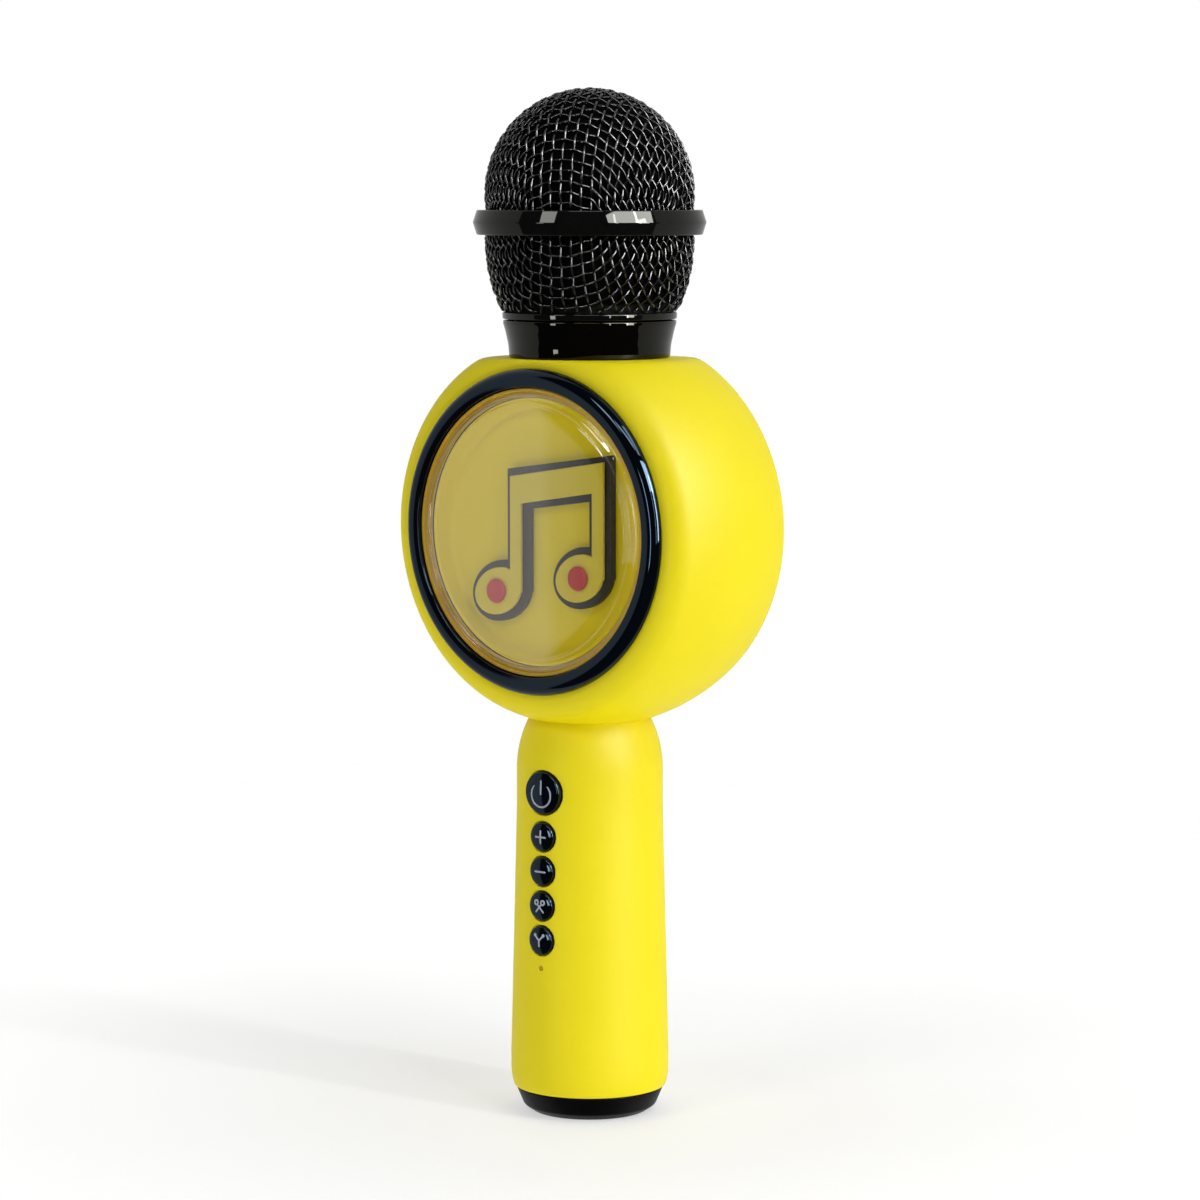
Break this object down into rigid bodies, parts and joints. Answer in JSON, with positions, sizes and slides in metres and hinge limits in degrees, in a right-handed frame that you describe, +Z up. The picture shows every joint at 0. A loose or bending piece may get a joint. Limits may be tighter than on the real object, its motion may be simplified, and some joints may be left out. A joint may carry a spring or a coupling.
{
  "type": "karaoke microphone",
  "caption": "Handheld wireless karaoke microphone with a round lit display and speaker body, a row of push buttons on the handle and a screw-on wire-mesh grille head.",
  "frame": {"origin": "centre of the base's bottom face, where the microphone stands", "axes": "+Z runs up the handle to the top of the grille, +X is to the right of someone facing the display, and the display and buttons face -Y"},
  "size_m": [0.0976, 0.0564, 0.25],
  "materials": {
    "shell_yellow": "soft-touch satin",
    "gloss_black": "high gloss",
    "base_black": "satin",
    "mesh_black": "black coated wire cloth",
    "band_black": "black mirror coating",
    "clear_lens": "clear polished",
    "amber": "translucent amber",
    "backdrop": "mustard diffuser",
    "emblem_black": "satin",
    "emblem_yellow": "satin gloss",
    "emblem_red": "gloss",
    "foam": "open-cell foam",
    "soft_rubber": "matt",
    "inner_plastic": "moulded",
    "circuit_board": "solder mask",
    "steel": "plated",
    "capsule_metal": "spun",
    "cone_paper": "pressed cone",
    "magnet_iron": "plated",
    "copper_wire": "enamelled",
    "cell_wrap": "shrink-wrapped",
    "lead_red": "insulated"
  },
  "bodies": {
    "housing": {"body_shell": "shell_yellow", "handle_shell": "shell_yellow", "front_bezel": "gloss_black", "rear_bezel": "gloss_black", "collar": "gloss_black", "lens": "clear_lens", "lens_seal": "amber", "backdrop_disc": "backdrop", "emblem_backing": "emblem_black", "emblem_face": "emblem_yellow", "emblem_dot_left": "emblem_red", "emblem_dot_right": "emblem_red", "light_board": "circuit_board", "bulkhead": "inner_plastic", "light_screw_1": "steel", "light_screw_2": "steel", "light_screw_3": "steel", "speaker_baffle": "inner_plastic", "speaker_frame": "steel", "speaker_magnet": "magnet_iron", "speaker_surround": "soft_rubber", "speaker_screw_1": "steel", "speaker_screw_2": "steel", "speaker_screw_3": "steel", "speaker_screw_4": "steel", "rear_grille": "base_black", "neck_tube": "inner_plastic", "capsule_mount": "soft_rubber", "mic_capsule": "capsule_metal", "base_cap": "base_black", "foot_pad": "soft_rubber", "body_joint_tube": "inner_plastic", "control_board": "circuit_board", "status_light_pipe": "amber", "battery_cell": "cell_wrap", "battery_cradle": "inner_plastic", "charge_port": "steel", "port_board": "circuit_board", "mic_lead": "soft_rubber", "speaker_lead": "lead_red", "light_lead": "lead_red", "switch_power": "steel", "switch_volume_up": "steel", "switch_volume_down": "steel", "switch_echo": "steel", "switch_voice": "steel"},
    "windscreen": {"windscreen_foam": "foam"},
    "grille": {"grille_dome": "mesh_black", "grille_band": "band_black", "grille_basket": "mesh_black", "grille_thread_ring": "band_black"},
    "speaker_diaphragm": {"speaker_cone": "cone_paper", "dust_cap": "cone_paper", "voice_coil": "copper_wire"},
    "button_power": {"button_power": "gloss_black"},
    "button_volume_up": {"button_volume_up": "gloss_black"},
    "button_volume_down": {"button_volume_down": "gloss_black"},
    "button_echo": {"button_echo": "gloss_black"},
    "button_voice": {"button_voice": "gloss_black"}
  },
  "joints": [
    {"name": "press_power", "type": "slide", "parent": "housing", "child": "button_power", "axis": [0, 1, 0], "range_m": [0, 0.0006], "stiffness_N_per_m": 800},
    {"name": "press_volume_up", "type": "slide", "parent": "housing", "child": "button_volume_up", "axis": [0, 1, 0], "range_m": [0, 0.0006], "stiffness_N_per_m": 800},
    {"name": "press_volume_down", "type": "slide", "parent": "housing", "child": "button_volume_down", "axis": [0, 1, 0], "range_m": [0, 0.0006], "stiffness_N_per_m": 800},
    {"name": "press_echo", "type": "slide", "parent": "housing", "child": "button_echo", "axis": [0, 1, 0], "range_m": [0, 0.0006], "stiffness_N_per_m": 800},
    {"name": "press_voice", "type": "slide", "parent": "housing", "child": "button_voice", "axis": [0, 1, 0], "range_m": [0, 0.0006], "stiffness_N_per_m": 800},
    {"name": "cone_travel", "type": "slide", "parent": "housing", "child": "speaker_diaphragm", "axis": [0, 1, 0], "range_m": [-0.001, 0.001], "stiffness_N_per_m": 1200},
    {"name": "windscreen_lift", "type": "slide", "parent": "housing", "child": "windscreen", "axis": [0, 0, 1], "range_m": [0, 0.006]},
    {"name": "grille_turn", "type": "hinge", "parent": "windscreen", "child": "grille", "pos_m": [0, 0, 0.2176], "axis": [0, 0, 1], "range_deg": [0, 1080]}
  ],
  "couplings": [
    {"joint": "windscreen_lift", "follows": "grille_turn", "m_per_rad": 0.000318}
  ]
}
